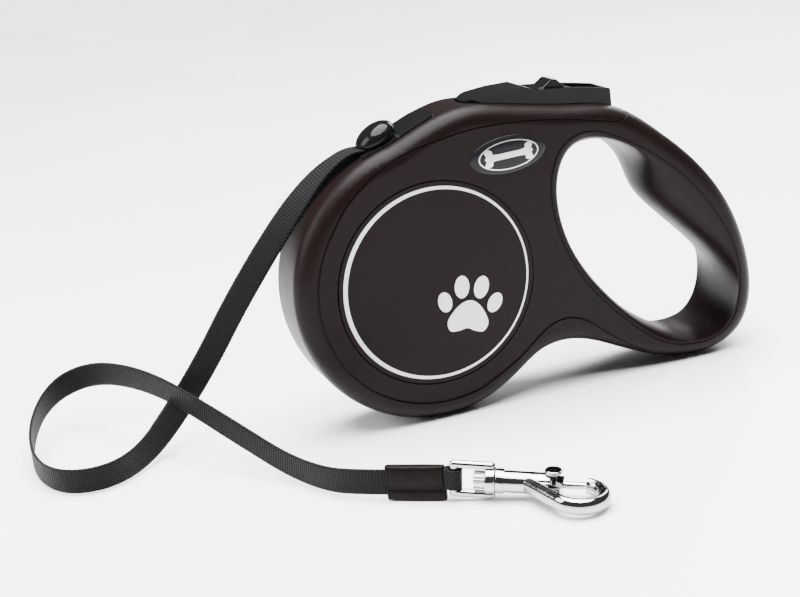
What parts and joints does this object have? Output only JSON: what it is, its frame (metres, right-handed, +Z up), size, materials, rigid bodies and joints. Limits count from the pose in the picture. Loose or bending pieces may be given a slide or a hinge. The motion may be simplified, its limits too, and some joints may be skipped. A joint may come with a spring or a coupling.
{
  "type": "retractable leash",
  "caption": "Retractable dog leash: round reel case with a looped hand grip, thumb brake button with sliding lock, flat tape, sleeve and swivel snap hook",
  "frame": {"origin": "On the floor plane under the middle of the casing, half way through its thickness", "axes": "X runs from the tape nose (-X) to the hand grip (+X), Y runs through the casing's thickness with the front face towards -Y, Z is up"},
  "size_m": [0.2836, 0.194, 0.1179],
  "materials": {
    "housing": "satin, fine grain",
    "gloss": "gloss",
    "panel": "satin",
    "badge": "gloss",
    "reel": "satin",
    "tape": "woven twill",
    "leather": "satin",
    "chrome": "polished",
    "steel": "satin"
  },
  "bodies": {
    "casing": {"front_shell": "housing", "rear_shell": "housing", "front_panel": "panel", "rear_panel": "panel", "front_badge": "badge", "rear_badge": "badge", "nose_guide": "gloss", "inner_tape_run": "tape", "axle": "steel", "case_screws": "steel", "button_pivot_pin": "steel", "mainspring": "steel", "button_spring": "steel", "tape_lead": "tape", "leather_sleeve": "leather", "tape_loop": "tape"},
    "reel": {"reel": "reel", "reel_cover": "reel", "cover_screws": "steel", "wound_tape": "tape"},
    "brake": {"brake_button": "gloss", "brake_pawl": "gloss"},
    "lock": {"lock_slider": "gloss"},
    "bail": {"swivel_bail": "chrome"},
    "hook": {"hook_body": "chrome", "bolt_spring": "steel"},
    "bolt": {"snap_bolt": "chrome"}
  },
  "joints": [
    {"name": "reel_spin", "type": "hinge", "parent": "casing", "child": "reel", "pos_m": [-0.0401, 0, 0.0531], "axis": [0, 1, 0], "continuous": true},
    {"name": "brake_press", "type": "hinge", "parent": "casing", "child": "brake", "pos_m": [-0.0141, 0, 0.1086], "axis": [0, 1, 0], "range_deg": [0, 5], "stiffness_Nm_per_rad": 1.2, "springref_deg": -4.58, "deforming": ["button_spring"]},
    {"name": "lock_slide", "type": "slide", "parent": "brake", "child": "lock", "axis": [0.9918, 0, -0.1275], "range_m": [0, 0.006]},
    {"name": "bail_swing", "type": "hinge", "parent": "casing", "child": "bail", "pos_m": [-0.0663, -0.0834, 0.0079], "axis": [0.0792, -0.0476, 0.9957], "range_deg": [-60, 60]},
    {"name": "swivel_spin", "type": "hinge", "parent": "bail", "child": "hook", "pos_m": [-0.0663, -0.0834, 0.0079], "axis": [0.8535, -0.5128, -0.0924], "continuous": true},
    {"name": "bolt_slide", "type": "slide", "parent": "hook", "child": "bolt", "axis": [-0.8535, 0.5128, 0.0924], "range_m": [0, 0.0065], "stiffness_N_per_m": 250, "springref_m": -0.004, "deforming": ["bolt_spring"]}
  ]
}
